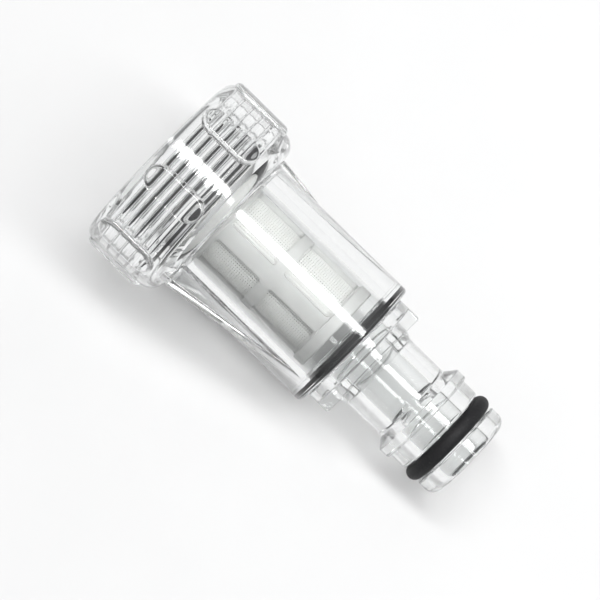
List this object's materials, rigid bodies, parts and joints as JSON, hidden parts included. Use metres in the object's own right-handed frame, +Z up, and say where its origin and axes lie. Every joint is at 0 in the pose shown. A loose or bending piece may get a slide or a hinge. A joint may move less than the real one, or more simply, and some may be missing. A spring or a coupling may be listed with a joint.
{
  "type": "inline water filter",
  "caption": "Clear inline hose filter with a female threaded collar, a lift-out mesh cartridge and a swivelling quick-connect spigot.",
  "frame": {"origin": "on the flow axis, halfway along the full thread ahead of the washer", "axes": "+X along the flow axis from the threaded mouth to the nose of the spigot, +Z up with two grip pads astride the lowest line, so the wings lie 22.5 degrees off the horizontal"},
  "size_m": [0.0653, 0.0322, 0.0322],
  "materials": {
    "clear_plastic": "clear, glossy, polished mould",
    "frosted_plastic": "translucent grey-white, satin",
    "filter_mesh": "fine woven monofilament mesh",
    "black_rubber": "smooth black, slight sheen"
  },
  "bodies": {
    "housing": {"housing": "clear_plastic"},
    "spigot": {"spigot_adapter": "clear_plastic", "seam_oring": "black_rubber", "spigot_oring": "black_rubber"},
    "cartridge": {"filter_cage": "frosted_plastic", "filter_mesh": "filter_mesh", "thread_washer": "black_rubber"}
  },
  "joints": [
    {"name": "spigot_swivel", "type": "hinge", "parent": "housing", "child": "spigot", "pos_m": [0.03517, 0, 0], "axis": [1, 0, 0], "continuous": true},
    {"name": "cartridge_slide", "type": "slide", "parent": "housing", "child": "cartridge", "axis": [-1, 0, 0], "range_m": [0, 0.042]}
  ]
}
